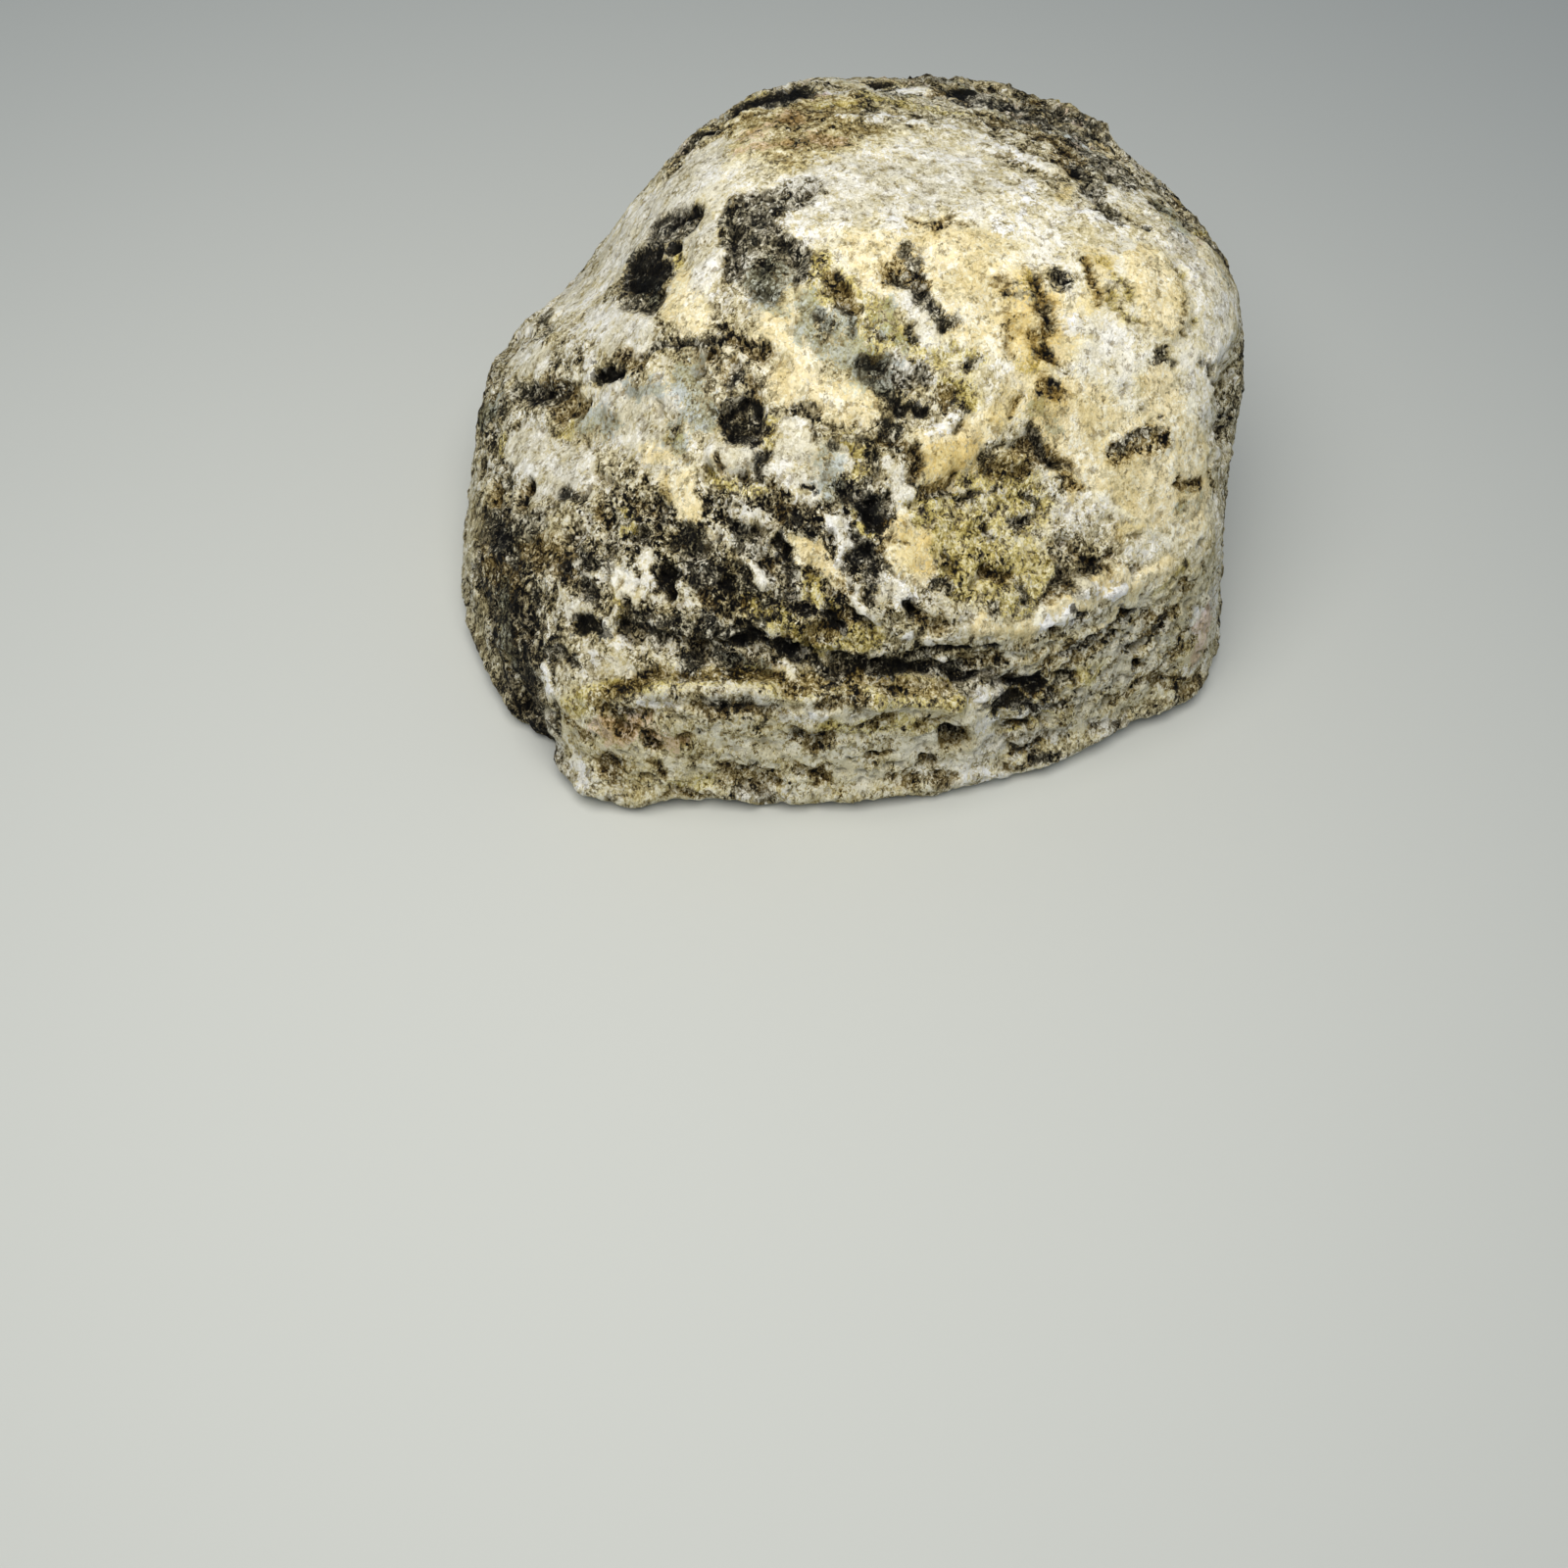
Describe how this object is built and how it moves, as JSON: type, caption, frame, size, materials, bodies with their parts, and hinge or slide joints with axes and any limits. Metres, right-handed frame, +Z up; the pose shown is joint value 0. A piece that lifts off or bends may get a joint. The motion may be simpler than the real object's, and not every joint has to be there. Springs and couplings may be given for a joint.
{
  "type": "agate nodule",
  "caption": "Cobble-shaped agate nodule with a rough pitted pale rind, sawn flat and polished underneath so that it rests on the cut face.",
  "frame": {"origin": "middle of the stone's bounding box in plan, in the plane of the sawn face that it rests on", "axes": "+X along the stone's longest side, +Y away from the low pitted front wall, +Z up, square to the sawn face"},
  "size_m": [0.0912, 0.0862, 0.0477],
  "materials": {
    "agate": "rough, chalky and pitted rind; polished on the sawn face"
  },
  "bodies": {
    "root": {"nodule": "agate"}
  },
  "joints": []
}
